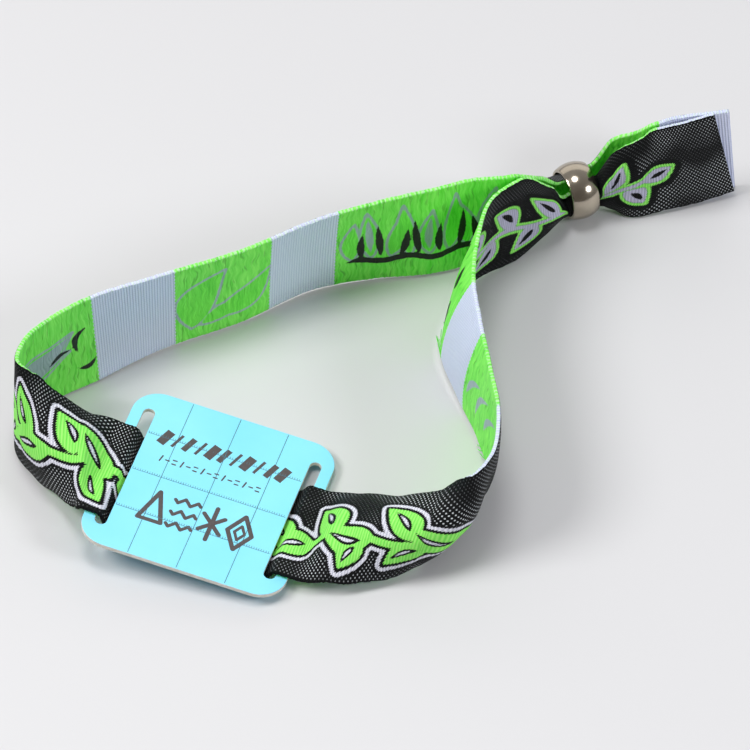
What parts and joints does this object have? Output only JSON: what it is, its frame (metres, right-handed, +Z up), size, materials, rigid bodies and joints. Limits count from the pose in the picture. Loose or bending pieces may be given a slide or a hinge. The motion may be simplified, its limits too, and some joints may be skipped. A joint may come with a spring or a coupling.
{
  "type": "rfid wristband",
  "caption": "Woven cloth wristband with a flat square plastic tag threaded on it and a round metal bead holding its two loose ends.",
  "frame": {"origin": "on the table under the middle of the whole band", "axes": "+Z up, +X towards the bead's side, +Y towards the back of the loop"},
  "size_m": [0.1212, 0.093, 0.0208],
  "materials": {
    "woven_cloth": "woven ribbon, black ground with green and pale grey motifs",
    "tag_plastic": "satin light cyan with fine printed lines",
    "bead_metal": "polished nickel"
  },
  "bodies": {
    "root": {"woven_band": "woven_cloth", "rfid_tag": "tag_plastic", "bead_slider": "bead_metal"}
  },
  "joints": []
}
